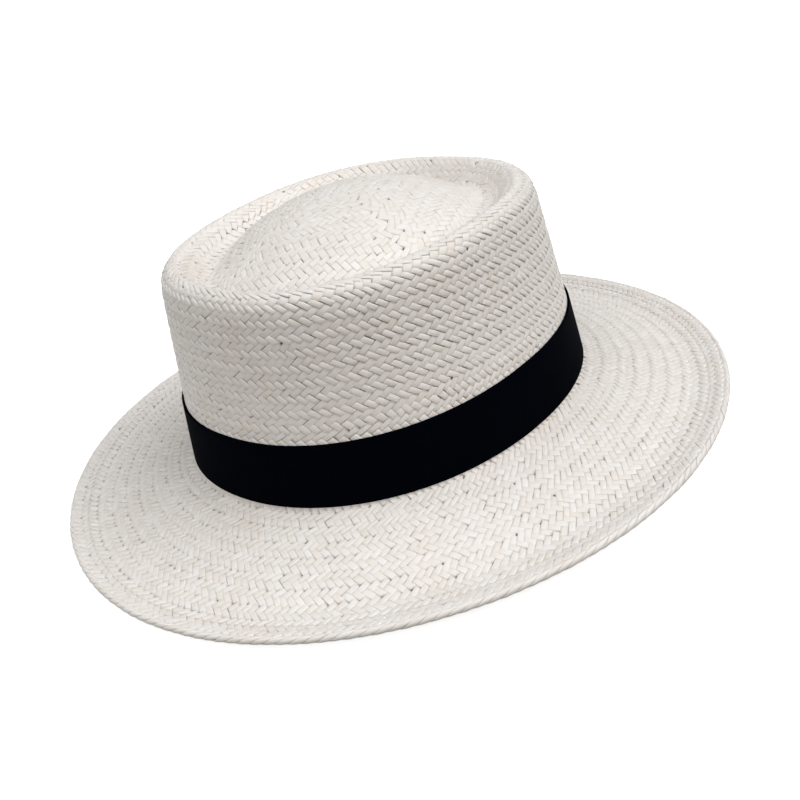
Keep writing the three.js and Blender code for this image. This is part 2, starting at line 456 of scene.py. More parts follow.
class WeavePlan:
    """Where every span of the herringbone goes. New strands come in as the rings grow longer."""

    # mark, ring, pitch, relief, cover, lead, holes, shade, skew
    ZONES = (
        WeaveZone("centre", 4.0, 3.5, 0.45, 1.08, 0.0, 0.0, 0.2),
        WeaveZone("dome", 4.0, 3.55, 0.45, 1.07, 0.0, 0.08, 0.3),
        WeaveZone("channel", 3.5, 3.95, 0.5, 1.05, 0.05, 0.25, 0.35),
        WeaveZone("ridge", 3.2, 4.25, 0.6, 1.05, 0.1, 0.25, 0.4, 0.06),
        WeaveZone("crest", 3.15, 4.5, 1.05, 1.03, 0.32, 0.12, 0.55, 0.15),
        WeaveZone("crest", 3.35, 4.25, 1.05, 1.03, 0.32, 0.12, 0.55, 0.17, past=50),
        WeaveZone("foot", 3.925, 3.5, 0.8, 1.05, -0.08, 0.5, 0.35, 0.05),
        WeaveZone("foot", 3.925, 3.52, 0.8, 1.06, -0.14, 0.6, 0.22, past=15),
        WeaveZone("curl", 3.655, 3.85, 0.75, 1.06, -0.16, 0.7, 0.22),
        WeaveZone("edge", 3.555, 3.85, 0.75, 1.06, -0.16, 0.7, 0.22, past=-7.5),
        WeaveZone("edge", 3.555, 3.85, 0.35, 1.08, -0.08, 0.3, 0.12, past=-5.5),
        WeaveZone("edge", 3.555, 3.85, 0.35, 1.08, -0.08, 0.3, 0.12),
    )
    LAST_INSET = 2.9  # edge to the place where no ring starts any more
    LOOSEST_AT = -135 / 360  # turn at which the weave is loosest
    SECOND_SKEW = 0.15  # share of the skew that comes and goes twice in a turn
    SHORTEST_GIRTH = 46.0  # length of the innermost ring
    CENTRE_ROWS = 100  # rows of the surface that the innermost ring is looked for in
    UNEVEN = 0.022  # chance difference of the lines' gaps, as a share
    CHANCE = 0.4  # how much chance there is in where new lines come in
    LEAST_APART = 2  # lines between two new ones

    def __init__(self, surface: StrawSurface) -> None:
        """Plans the rings.

        Args:
            surface: The straw's surface.
        """
        self.surface = surface
        self.random = np.random.default_rng(SEED)
        self.marks = [surface.marks[zone.mark] + zone.past for zone in self.ZONES]
        self.start = SquareStart(surface.marks["ridge"])
        self.rings = self._plan(surface.marks["edge"] - self.LAST_INSET)

    def size(self, name: str, along: float | np.ndarray) -> float | np.ndarray:
        """Returns a size of the weave by its name, so far along the profile."""
        return np.interp(along, self.marks, [getattr(zone, name) for zone in self.ZONES])

    def place(self, ring: Ring, x: np.ndarray, t: np.ndarray) -> tuple[np.ndarray, np.ndarray]:
        """Finds a place in a ring's lattice on the straw.

        Args:
            ring: The ring.
            x: Line numbers, counted round the ring.
            t: Share of the way to the next ring out, or to the one inside where it is negative.

        Returns:
            The turns, and the distances along the profile.
        """
        turn, along = self.start.place(*ring.place(x, t))
        past = 2 * math.pi * (turn - self.LOOSEST_AT)
        skew = self.size("skew", along) / (2 * math.pi)
        return turn + skew * (np.sin(past) + self.SECOND_SKEW * np.sin(2 * past)), along

    def _plan(self, end: float) -> list[Ring]:
        """Returns the rings from the centre of the crown out to a place along the profile."""
        rows = slice(self.CENTRE_ROWS)
        start = float(np.interp(self.SHORTEST_GIRTH, self.surface.girth[rows], self.surface.along[rows]))
        count = round(self.SHORTEST_GIRTH / self.size("pitch", start))
        lines = np.arange(count) / count
        new = np.zeros(count, bool)
        rings: list[Ring] = []
        along = start
        inner = self.size("ring", start)
        inward = lines
        while along < end:
            outer = float(self.size("ring", along))
            lean = Lean(len(rings) % 2)
            rings.append(Ring(along, outer, inner, lean, lines, new, inward=inward))
            wanted = round(self.surface.girth_at(along + outer) / self.size("pitch", along + outer))
            square = along < self.start.reach
            inward, kept = self._grow(lines, max(0, wanted - len(lines)), square)
            grown = self._even_out(inward, square)
            rings[-1].outward = grown[kept]
            new = ~np.isin(np.arange(len(grown)), kept)
            lines = grown
            along += outer
            inner = outer
        return rings

    def _grow(self, lines: np.ndarray, extra: int, square: bool) -> tuple[np.ndarray, np.ndarray]:
        """Adds lines: at the corners of the square start, and further out where they are furthest apart.

        Args:
            lines: The lines so far.
            extra: How many to add.
            square: Whether the ring is in the square start.

        Returns:
            The lines with the new ones, and where the old ones are among them.
        """
        count = len(lines)
        gaps = np.diff(np.append(lines, lines[0] + 1))
        to_corner = self.start.to_corner(lines + gaps / 2)
        order = np.argsort(to_corner if square else -gaps * (1 + self.CHANCE * self.random.random(count)))
        chosen: list[int] = []
        for i in order:
            apart = [min(abs(i - c), count - abs(i - c)) for c in chosen]
            if len(chosen) < extra and all(gap > self.LEAST_APART for gap in apart):
                chosen.append(int(i))
        added = np.zeros(count, int)
        added[chosen] = 1
        kept = np.arange(count) + np.concatenate([[0], np.cumsum(added)[:-1]])
        grown = np.zeros(count + len(chosen))
        grown[kept] = lines
        grown[kept[chosen] + 1] = lines[chosen] + gaps[chosen] / 2
        return grown, kept

    def _even_out(self, lines: np.ndarray, square: bool) -> np.ndarray:
        """Returns the lines pushed apart where they crowd, and a little uneven, as hand work is."""
        gaps = np.ones(len(lines)) if square else np.diff(np.append(lines, lines[0] + 1))
        for _ in range(2):
            gaps = 0.5 * gaps + 0.25 * (np.roll(gaps, 1) + np.roll(gaps, -1))
        gaps = gaps * (1 + self.UNEVEN * self.random.standard_normal(len(gaps)))
        gaps = gaps / gaps.sum()
        moved = np.concatenate([[0.0], np.cumsum(gaps)[:-1]])
        return moved + (lines - moved).mean()


# ---- meshes -----------------------------------------------------------------------------------------------


@dataclass(frozen=True)
class Tile:
    """A small patch that is modelled once and laid many times.

    Attributes:
        along: Each point's place along the strand, from -0.5 to 0.5.
        across: Each point's place across it, from -0.5 to 0.5.
        rim: Whether the point is on the patch's rim, which is tucked under its neighbours.
        faces: The corners of each face.
    """

    along: np.ndarray
    across: np.ndarray
    rim: np.ndarray
    faces: np.ndarray

    @classmethod
    def model(cls, along: list[float], across: list[float]) -> "Tile":
        """Models a patch as a grid whose rows and columns are then moved to their places.

        Args:
            along: Places of the columns, in order.
            across: Places of the rows, in order.

        Returns:
            The tile.
        """
        mesh = grid_mesh("tile", len(along) - 1, len(across) - 1)
        points = mesh_points(mesh)
        column = np.rint((points[:, 0] + 0.5) * (len(along) - 1)).astype(int)
        row = np.rint((points[:, 1] + 0.5) * (len(across) - 1)).astype(int)
        rim = (column == 0) | (column == len(along) - 1) | (row == 0) | (row == len(across) - 1)
        faces = np.array([polygon.vertices[:] for polygon in mesh.polygons])
        bpy.data.meshes.remove(mesh)
        return cls(np.array(along)[column], np.array(across)[row], rim, faces)


def grid_mesh(name: str, columns: int, rows: int) -> bpy.types.Mesh:
    """Adds a flat grid one unit wide and keeps only its mesh.

    Args:
        name: The mesh's name.
        columns: Faces along X.
        rows: Faces along Y.

    Returns:
        The mesh, from -0.5 to 0.5 each way.
    """
    bpy.ops.object.select_all(action="DESELECT")
    bpy.ops.mesh.primitive_grid_add(x_subdivisions=columns, y_subdivisions=rows, size=1)
    grid = bpy.context.object
    mesh = grid.data
    mesh.name = name
    bpy.data.objects.remove(grid)
    return mesh


def mesh_points(mesh: bpy.types.Mesh) -> np.ndarray:
    """Returns a mesh's points, one in each row."""
    points = np.empty(len(mesh.vertices) * 3)
    mesh.vertices.foreach_get("co", points)
    return points.reshape(-1, 3)


def add_object(name: str, mesh: bpy.types.Mesh) -> bpy.types.Object:
    """Returns a new object in the scene, with smooth faces."""
    mesh.name = name
    mesh.shade_smooth()
    piece = bpy.data.objects.new(name, mesh)
    bpy.context.scene.collection.objects.link(piece)
    return piece


def set_strand_map(mesh: bpy.types.Mesh, uv: np.ndarray) -> None:
    """Gives a mesh its map, in millimetres along and across the strand, from one row for each point."""
    corners = np.empty(len(mesh.loops), np.int32)
    mesh.loops.foreach_get("vertex_index", corners)
    layer = mesh.uv_layers.new(name="strand")
    layer.uv.foreach_set("vector", uv[corners].astype(np.float32).ravel())


def set_values(mesh: bpy.types.Mesh, name: str, values: np.ndarray) -> None:
    """Gives each point of a mesh a value, from 0 to 1, such as its strand's tone."""
    attribute = mesh.attributes.new(name, "FLOAT", "POINT")
    attribute.data.foreach_set("value", values.astype(np.float32).ravel())


def scatter(random: np.random.Generator, count: int, spread: float) -> np.ndarray:
    """Returns a small chance difference for each of so many strands, in one column."""
    return spread * random.standard_normal((count, 1))


def strand_tones(random: np.random.Generator, count: int | None, middle: float, spread: float) -> np.ndarray:
    """Returns a tone from 0 to 1 for each of so many strands, or for one."""
    return np.clip(middle + spread * random.standard_normal(count), 0, 1)


def lay_tiles(
    name: str, tile: Tile, places: np.ndarray, uv: np.ndarray, tone: np.ndarray, painted_shade_amount: np.ndarray
) -> bpy.types.Object:
    """Joins one copy of a tile for each place into one piece.

    Args:
        name: The piece's name.
        tile: The tile.
        places: Points in metres, for each copy and each of its points.
        uv: The map's millimetres, for each copy and each of its points.
        tone: One tone for each copy.
        painted_shade_amount: How strongly each copy's points are darkened with painted shade, for lying deep
            in a crevice or a pinhole.

    Returns:
        The piece.
    """
    copies, points = places.shape[:2]
    faces = tile.faces[None] + (np.arange(copies) * points)[:, None, None]
    mesh = bpy.data.meshes.new(name)
    mesh.from_pydata(places.reshape(-1, 3), [], faces.reshape(-1, 4))
    set_strand_map(mesh, uv.reshape(-1, 2))
    set_values(mesh, "tone", np.repeat(tone, points))
    set_values(mesh, "painted_shade_amount", painted_shade_amount)
    return add_object(name, mesh)


def close_seams(piece: bpy.types.Object) -> None:
    """Merges the points that lie on each other, where a rolled-up grid meets itself."""
    bpy.ops.object.select_all(action="DESELECT")
    piece.select_set(True)
    bpy.context.view_layer.objects.active = piece
    bpy.ops.object.mode_set(mode="EDIT")
    bpy.ops.mesh.select_all(action="SELECT")
    bpy.ops.mesh.remove_doubles(threshold=1e-6)
    bpy.ops.object.mode_set(mode="OBJECT")


def rolled_grid(
    name: str, columns: int, rows: int, shape: Callable[[np.ndarray, np.ndarray], np.ndarray]
) -> bpy.types.Object:
    """Rolls a flat grid up into a closed band.

    Args:
        name: The piece's name.
        columns: Faces round the hat.
        rows: Faces round the band's section.
        shape: Gives the points in metres from the turns and from the row numbers.

    Returns:
        The piece, closed both ways.
    """
    mesh = grid_mesh(name, columns, rows)
    flat = mesh_points(mesh)
    row = np.rint((flat[:, 1] + 0.5) * rows).astype(int)
    mesh.vertices.foreach_set("co", shape(flat[:, 0] + 0.5, row).ravel())
    piece = add_object(name, mesh)
    close_seams(piece)
    return piece


# ---- finishes ---------------------------------------------------------------------------------------------


def linear(hex_colour: str) -> tuple[float, float, float, float]:
    """Returns an sRGB hex colour as linear red, green, blue and alpha."""
    shares = [int(hex_colour[i : i + 2], 16) / 255 for i in (1, 3, 5)]
    red, green, blue = (s / 12.92 if s <= 0.04045 else ((s + 0.055) / 1.055) ** 2.4 for s in shares)
    return red, green, blue, 1.0


def feed(tree: bpy.types.NodeTree, node: bpy.types.Node, inputs: dict) -> None:
    """Sets a node's inputs, each by its name or number, to a value or to the output that feeds it."""
    for name, value in inputs.items():
        if isinstance(value, bpy.types.NodeSocket):
            tree.links.new(value, node.inputs[name])
        else:
            node.inputs[name].default_value = value


def add_node(
    tree: bpy.types.NodeTree, kind: str, inputs: dict | None = None, **settings: object
) -> bpy.types.Node:
    """Adds a node with its settings and links.

    Args:
        tree: The node tree.
        kind: The node's type.
        inputs: For each input, by name or number, its value or the output that feeds it.
        **settings: The node's own properties.

    Returns:
        The node.
    """
    node = tree.nodes.new(kind)
    for name, value in settings.items():
        setattr(node, name, value)
    feed(tree, node, inputs or {})
    return node


def wave_scale(pitch: float) -> float:
    """Returns the scale at which a wave texture has one band in so many of its map's units."""
    return math.pi / 10 / pitch


def new_material(name: str) -> tuple[bpy.types.Material, bpy.types.NodeTree, bpy.types.Node]:
    """Returns a new material, its node tree and its shader."""
    material = bpy.data.materials.new(name)
    material.use_nodes = True
    tree = material.node_tree
    return material, tree, tree.nodes["Principled BSDF"]


@dataclass(frozen=True)
class PaperStraw:
    """Paper straw: strips of bleached paper folded flat, sized and pressed. A satin white, with fine creases
    that run along each strand, and no two strands quite the same white."""

    name: str = "pressed_paper_straw"
    tones: tuple[tuple[float, str], ...] = (
        (0.0, "#e6e4da"),
        (0.25, "#eae5df"),
        (0.5, "#ece8e4"),
        (0.75, "#f0edeb"),
        (1.0, "#eee5e3"),
    )
    crease_pitch: float = 0.45
    crease_length: float = 7.0
    crease_depth: float = 0.05
    crease_shade: float = 0.96  # brightness at the bottom of a crease, as a share of the strand's: painted shade
    stain: str = "#f7f0ea"
    stain_size: float = 28.0
    stain_from: float = 0.52  # level of the noise at which a stain begins
    stain_full: float = 0.75  # level at which it is as strong as it gets
    stain_strength: float = 0.35
    crevice_full: float = 0.6  # depth at which the painted shade of a crevice is as dark as it gets
    crevice_shade: float = 0.18  # brightness there, as a share of the strand's: painted shade
    roughness: float = 0.5
    ior: float = 1.45
    gloss: float = 0.35

    def build(self) -> bpy.types.Material:
        """Returns the material."""
        material, tree, shader = new_material(self.name)
        strand = add_node(tree, "ShaderNodeUVMap", uv_map="strand").outputs["UV"]
        tone = add_node(tree, "ShaderNodeAttribute", attribute_name="tone").outputs["Fac"]
        creases = add_node(
            tree,
            "ShaderNodeMapping",
            {"Vector": strand, "Scale": (1 / self.crease_length, 1 / self.crease_pitch, 1)},
        )
        fibre = add_node(
            tree,
            "ShaderNodeTexNoise",
            {"Vector": creases.outputs["Vector"], "Scale": 1.0, "Detail": 3.0, "Roughness": 0.6},
            noise_dimensions="2D",
        )
        colours = add_node(tree, "ShaderNodeValToRGB", {"Fac": tone})
        ramp = colours.color_ramp.elements
        ramp.remove(ramp[1])
        ramp[0].color = linear(self.tones[0][1])
        for position, colour in self.tones[1:]:
            ramp.new(position).color = linear(colour)
        place = add_node(tree, "ShaderNodeTexCoord").outputs["Object"]
        patches = add_node(
            tree,
            "ShaderNodeTexNoise",
            {"Vector": place, "Scale": 1 / (self.stain_size * MM), "Detail": 2.0},
        )
        stain_share = add_node(
            tree,
            "ShaderNodeMapRange",
            {
                "Value": patches.outputs["Fac"],
                "From Min": self.stain_from,
                "From Max": self.stain_full,
                "To Max": self.stain_strength,
            },
        )
        stained = add_node(
            tree,
            "ShaderNodeMix",
            {0: stain_share.outputs["Result"], 6: colours.outputs["Color"], 7: linear(self.stain)},
            data_type="RGBA",
            blend_type="MULTIPLY",
        )
        # the bottoms of the creases darkened: painted shade, beside the creases' bump
        shade = add_node(
            tree,
            "ShaderNodeMapRange",
            {
                "Value": fibre.outputs["Fac"],
                "From Min": 0.25,
                "From Max": 0.75,
                "To Min": self.crease_shade,
            },
        )
        # painted shade in the crevices and pinholes between the spans, darker the deeper a point lies
        painted_shade_amount = add_node(tree, "ShaderNodeAttribute", attribute_name="painted_shade_amount").outputs["Fac"]
        sunk = add_node(
            tree,
            "ShaderNodeMapRange",
            {
                "Value": painted_shade_amount,
                "From Max": self.crevice_full,
                "To Min": 1.0,
                "To Max": self.crevice_shade,
            },
        )
        shaded = add_node(
            tree,
            "ShaderNodeMath",
            {0: shade.outputs["Result"], 1: sunk.outputs["Result"]},
            operation="MULTIPLY",
        )
        with_painted_shade = add_node(
            tree,
            "ShaderNodeMix",
            {0: 1.0, 6: stained.outputs[2], 7: shaded.outputs["Value"]},
            data_type="RGBA",
            blend_type="MULTIPLY",
        )
        bump = add_node(
            tree,
            "ShaderNodeBump",
            {"Height": fibre.outputs["Fac"], "Distance": self.crease_depth * MM, "Strength": 1.0},
        )
        look = {
            "Base Color": with_painted_shade.outputs[2],
            "Normal": bump.outputs["Normal"],
            "Roughness": self.roughness,
            "IOR": self.ior,
            "Specular IOR Level": self.gloss,
        }
        feed(tree, shader, look)
        return material


@dataclass(frozen=True)
class StrawCore:
    """The buried layer of the same paper straw, its colour darkened as painted shade for lying in the shade
    of the strands over it. It only shows as the dark of the small holes between them."""

    name: str = "straw_core_painted_shade"
    # the straw's own colour darkened: painted shade, and the mottle likewise
    colour: str = "#6b6459"
    mottle: str = "#7d766a"
    mottle_size: float = 6.0
    roughness: float = 0.9

    def build(self) -> bpy.types.Material:
        """Returns the material."""
        material, tree, shader = new_material(self.name)
        place = add_node(tree, "ShaderNodeTexCoord").outputs["Object"]
        mottle = add_node(
            tree, "ShaderNodeTexNoise", {"Vector": place, "Scale": 1 / (self.mottle_size * MM)}
        )
        colours = add_node(tree, "ShaderNodeValToRGB", {"Fac": mottle.outputs["Fac"]})
        colours.color_ramp.elements[0].color = linear(self.colour)
        colours.color_ramp.elements[1].color = linear(self.mottle)
        feed(tree, shader, {"Base Color": colours.outputs["Color"], "Roughness": self.roughness})
        return material


@dataclass(frozen=True)
class Grosgrain:
    """Grosgrain ribbon: rayon warp over thick cotton weft, dyed a blue-black. Ribs across its width show a
    faint, silky sheen, painted as a lighter colour on their crests, and the rest swallows the light."""

    name: str = "grosgrain_rayon"
    dye: str = "#020308"
    # the rib crests' lighter colour: a painted sheen
    painted_rib_sheen: str = "#04060d"
    rib_pitch: float = 0.9
    rib_depth: float = 0.1
    roughness: float = 0.7
    gloss: float = 0.005

    def build(self) -> bpy.types.Material:
        """Returns the material."""
        material, tree, shader = new_material(self.name)
        ribbon = add_node(tree, "ShaderNodeUVMap", uv_map="strand").outputs["UV"]
        ribs = add_node(
            tree,
            "ShaderNodeTexWave",
            {"Vector": ribbon, "Scale": wave_scale(self.rib_pitch), "Distortion": 0.4, "Detail": 1.0},
            bands_direction="X",
            wave_profile="SIN",
        )
        # dye in the rib hollows, painted sheen on the rib crests
        colours = add_node(tree, "ShaderNodeValToRGB", {"Fac": ribs.outputs["Fac"]})
        colours.color_ramp.elements[0].color = linear(self.dye)
        colours.color_ramp.elements[1].color = linear(self.painted_rib_sheen)
        bump = add_node(
            tree, "ShaderNodeBump", {"Height": ribs.outputs["Fac"], "Distance": self.rib_depth * MM}
        )
        look = {
            "Base Color": colours.outputs["Color"],
            "Normal": bump.outputs["Normal"],
            "Roughness": self.roughness,
            "Specular IOR Level": self.gloss,
        }
        feed(tree, shader, look)
        return material


@dataclass(frozen=True)
class SewingThread:
    """Spun cotton thread in a pinkish straw colour, pulled tight: a thin matt line, darker than the straw."""

    name: str = "spun_cotton_thread"
    colour: str = "#c9bfb7"
    ply: str = "#dad1c9"
    ply_pitch: float = 0.5
    roughness: float = 0.85

    def build(self) -> bpy.types.Material:
        """Returns the material."""
        material, tree, shader = new_material(self.name)
        strand = add_node(tree, "ShaderNodeUVMap", uv_map="strand").outputs["UV"]
        plies = add_node(
            tree,
            "ShaderNodeTexWave",
            {"Vector": strand, "Scale": wave_scale(self.ply_pitch)},
            bands_direction="DIAGONAL",
        )
        colours = add_node(tree, "ShaderNodeValToRGB", {"Fac": plies.outputs["Fac"]})
        colours.color_ramp.elements[0].color = linear(self.colour)
        colours.color_ramp.elements[1].color = linear(self.ply)
        feed(tree, shader, {"Base Color": colours.outputs["Color"], "Roughness": self.roughness})
        return material


# ---- sub-assemblies ---------------------------------------------------------------------------------------


class Side(Enum):
    """Which face of the straw a weave is on. The value is the sign of its outward direction."""

    OUTSIDE = 1
    INSIDE = -1


@dataclass
class WovenStraw:
    """The crown and the brim: a buried core, and the spans of the herringbone on both of its faces."""

    surface: StrawSurface
    plan: WeavePlan
    straw: bpy.types.Material
    # the core's material, whose dark colour is painted shade
    shade: bpy.types.Material
    ribbon_foot: float
    ribbon_top: float
    seam: float
    depth: float = 0.75  # outside of the straw to the core
    rim_depth: float = 0.87  # the same to a span's rim, which is under the core's skin
    full_lead: float = 0.36  # how far one lean can stand over the other
    bow: float = 0.12  # height of a span's middle over its ends
    edge_drop: float = 0.25  # drop of its long sides
    end_dip: float = 0.45  # drop of its ends
    tilt: float = 0.06  # chance tilt of a span from side to side
    lead_in: float = 0.3  # how much further in a new strand starts
    fill_in: float = 0.08  # how much wider the spans beside it are
    tuck: float = 1.09  # length of a span, over the room that it has
    taper: float = 0.03  # how much narrower its ends are
    proud_narrowing: float = 0.05  # how much narrower the spans that stand out are
    length_spread: float = 0.015
    width_spread: float = 0.012
    slip: float = 0.02  # chance shift of a span, as a share of its room
    swing: float = 0.035  # chance turn of a span, as a share of its slant
    bulge: float = 0.05  # chance height of its middle
    raised_share: float = 0.05  # share of the spans that are lifted
    raised_by: float = 0.4
    tight_holes: float = 0.2  # pinholes left where the weave is tightest, as a share of the loosest place's
    notch: float = 0.08  # how much narrower a span is at a pinhole
    shortfall: float = 0.08  # how much shorter it is there
    pit_least: float = 0.35  # how dark the palest painted pinhole shade is
    pit_spread: float = 0.9  # how much darker the painted shade of others may be
    seam_dip: float = 0.35  # how deep the seam pulls the straw in
    seam_width: float = 0.8
    top_lap: float = 5.0  # how far down under the ribbon the wall's weave runs
    foot_lap: float = 4.0  # how far up under it the brim's weave runs
    edge_inset: float = 0.05  # last points of the weave to the rolled edge
    under_reach: float = 1.5  # how far past the seam the weave below runs, hidden by the hem
    hem_lap: float = 0.9  # how far inside the hem's cut end the core's own step is
    strand_width: float = 2.65
    tone_spread: float = 0.11
    random: np.random.Generator = field(default_factory=lambda: np.random.default_rng(SEED + 1))

    FINE_ALONG = [-0.5, -0.46, -0.3, 0.3, 0.46, 0.5]
    FINE_ACROSS = [-0.5, -0.455, -0.31, 0.31, 0.455, 0.5]
    PLAIN_ALONG = [-0.5, -0.44, 0.0, 0.44, 0.5]
    PLAIN_ACROSS = [-0.5, -0.44, 0.44, 0.5]
    CORE_COLUMNS = 120
    CORE_ROWS = 90
    HEM_ROWS = 6
    HEM_STEP = 0.1  # run in which the core steps down to the hem
    TWILL_PITCH = 2.7
    TWILL_REACH = 8.6
    TWILL_ROWS = 8
    TWILL_LENGTH = 2.2  # length of a twill span, in pitches
    TWILL_WIDTH = 1.17  # its width, in pitches

    def build(self) -> list[bpy.types.Object]:
        """Builds the core and the weaves.

        Returns:
            The pieces.
        """
        marks = self.surface.marks
        fine = Tile.model(self.FINE_ALONG, self.FINE_ACROSS)
        plain = Tile.model(self.PLAIN_ALONG, self.PLAIN_ACROSS)
        foot = marks["foot"]
        under_ribbon = (foot - self.ribbon_top + self.top_lap, foot - self.ribbon_foot - self.foot_lap)
        pieces = [
            self._core(),
            self._weave("crown_top_weave", fine, Side.OUTSIDE, 0, marks["crest"]),
            self._weave("crown_wall_weave", fine, Side.OUTSIDE, marks["crest"], under_ribbon[0]),
            self._weave("brim_weave", fine, Side.OUTSIDE, under_ribbon[1], math.inf),
            self._weave("crown_inside_weave", plain, Side.INSIDE, 0, foot),
            self._weave("brim_under_weave", plain, Side.INSIDE, foot, self.seam + self.under_reach),
            self._button(fine),
        ]
        for piece in pieces[1:]:
            piece.data.materials.append(self.straw)
        pieces[0].data.materials.append(self.shade)
        return pieces

    def _core(self) -> bpy.types.Object:
        """Returns the closed shell between the two faces, as thick as the straw less both weaves."""
        sizes = self.surface.sizes
        edge = self.surface.marks["edge"]
        hem_end = edge - sizes.hem_width + self.hem_lap
        run = np.linspace(0, edge, self.CORE_ROWS)
        hem = np.linspace(edge, hem_end, self.HEM_ROWS)
        wall_end = hem_end - self.HEM_STEP
        back = np.append(run[run < wall_end], wall_end)[::-1]
        along = np.concatenate([run, hem, back])
        lift = np.concatenate([
            np.full(len(run), -self.depth),
            np.full(len(hem), self.depth - sizes.hem_thickness),
            np.full(len(back), self.depth - sizes.wall),
        ])
        along, lift = np.append(along, 0.0), np.append(lift, -self.depth)

        def shape(turn: np.ndarray, row: np.ndarray) -> np.ndarray:
            """Returns the shell's points."""
            return self.surface.at(turn, along[row], lift[row])

        return rolled_grid("straw_core", self.CORE_COLUMNS, len(along) - 1, shape)

    def _lattice(self, ring: Ring, tile: Tile, side: Side) -> tuple[np.ndarray, np.ndarray, np.ndarray]:
        """Gives where in a ring's lattice the points of its spans are.

        Args:
            ring: The ring.
            tile: The span's tile.
            side: The face of the straw.

        Returns:
            Line numbers, shares of the ring's height and the painted shade at a pinhole, for each span and
            point.
        """
        count = len(ring.here)
        rng = self.random
        length = self.tuck * (1 + scatter(rng, count, self.length_spread))
        cover = self.plan.size("cover", ring.along) * (1 - self.proud_narrowing * self._proud(ring))
        width = cover * (1 + scatter(rng, count, self.width_spread))
        beside_new = ring.new | np.roll(ring.new, 1) | np.roll(ring.new, -1)
        width = width * (1 + self.fill_in * beside_new[:, None])
        loose = 0.5 + 0.5 * np.cos(2 * math.pi * (ring.here - self.plan.LOOSEST_AT))
        holes = self.plan.size("holes", ring.along) * mix(self.tight_holes, 1, loose)
        holed = (rng.random(count) < holes)[:, None]
        notch = self.notch * holed * (0.5 + 0.5 * rng.random((count, 1)))
        along, across = tile.along[None], tile.across[None]
        far_end = np.clip(2 * along, 0, 1)
        narrow = 1 - self.taper * (2 * along) ** 6 - notch * far_end**6
        leans_with = (ring.lean is Lean.WITH) == (side is Side.OUTSIDE)
        sign = -1 if leans_with else 1
        inner_end = np.clip(2 * sign * along, 0, 1)
        a = along * length + sign * self.lead_in * ring.new[:, None] * inner_end
        at_hole = far_end**4 * (0.5 + across)
        a = a - self.shortfall * holed * (0.5 + 0.5 * rng.random((count, 1))) * at_hole
        b = across * width * narrow * side.value
        # a dark spot painted at the corner of a pinhole: painted shade, over the small real gap that the
        # notch and shortfall leave
        pinhole_painted_shade = far_end**6 * (0.5 + across) ** 3
        pinhole_painted_shade = pinhole_painted_shade * holed * (self.pit_least + self.pit_spread * rng.random((count, 1)))
        slip = self.slip * rng.standard_normal((2, count, 1))
        swing = scatter(rng, count, self.swing)
        number = np.arange(count)[:, None]
        x = number + (0.75 if leans_with else 0.25) + a + sign * 0.5 * b + slip[0] - sign * swing * a
        t = 0.25 - sign * a + 0.5 * b + slip[1] + swing * a
        return x, t, pinhole_painted_shade

    def _proud(self, ring: Ring) -> float:
        """Returns how far a ring's spans stand over those of the next rings, from -1 to 1."""
        lead = float(self.plan.size("lead", ring.along)) * (1 if ring.lean is Lean.WITH else -1)
        return lead / self.full_lead

    def _heights(self, ring: Ring, tile: Tile, side: Side) -> np.ndarray:
        """Returns how far each point of a ring's spans stands over the outside of the straw."""
        rng, count = self.random, len(ring.here)
        relief = float(self.plan.size("relief", ring.along))
        raised = (rng.random(count) < self.raised_share) * rng.random(count)
        proud = self._proud(ring)
        along, across = np.abs(2 * tile.along[None]), np.abs(2 * tile.across[None])
        arch = (1 - along**2) * (1 - 0.5 * across**2)
        bulge = scatter(rng, count, self.bulge) + self.raised_by * raised[:, None]
        bulge = bulge * (0.4 + 0.6 * relief)
        tilt = scatter(rng, count, self.tilt) * tile.across[None] * 2
        dip = self.end_dip * relief * along**5
        drop = self.edge_drop * (1 + 0.7 * proud) * relief * across**4
        bow = self.bow * relief * (1 - along**2)
        heights = proud * self.full_lead / 2 + bow + bulge * arch + tilt - dip - drop
        heights = np.where(tile.rim[None], -self.rim_depth, heights)
        if side is Side.OUTSIDE:
            return heights
        return -self.surface.sizes.wall - heights

    def _weave(self, name: str, tile: Tile, side: Side, start: float, end: float) -> bpy.types.Object:
        """Lays the spans of all rings between two places along the profile.

        Args:
            name: The piece's name.
            tile: The span's tile.
            side: The face of the straw that the spans are on.
            start: Where the first ring may be.
            end: Where the last ring may be.

        Returns:
            The piece.
        """
        places, maps, tones, painted_shade_amounts = [], [], [], []
        for ring in self.plan.rings:
            if not start <= ring.along < end:
                continue
            count = len(ring.here)
            x, t, pinhole_painted_shade = self._lattice(ring, tile, side)
            turn, along = self.plan.place(ring, x, t)
            along = np.minimum(along, self.surface.marks["edge"] - self.edge_inset)
            heights = self._heights(ring, tile, side)
            groove = self.seam_dip * np.exp(-(((along - self.seam) / self.seam_width) ** 2))
            places.append(self.surface.at(turn, along, heights - groove * side.value))
            length = math.hypot(self.plan.size("pitch", ring.along), ring.outer)
            apart = self.random.random((count, 1)) * MAP_SPREAD
            along_map = tile.along[None] * length + apart
            across_map = tile.across[None] * self.strand_width + apart * 0.37
            maps.append(np.stack([along_map, across_map], -1))
            tones.append(strand_tones(self.random, count, 0.5, self.tone_spread))
            # the rims of the spans, deep in the crevices, and the pinholes get painted shade
            painted_shade_amounts.append(np.maximum(self.plan.size("shade", ring.along) * tile.rim[None], pinhole_painted_shade))
        return lay_tiles(name, tile, *(np.concatenate(rows) for rows in (places, maps, tones, painted_shade_amounts)))

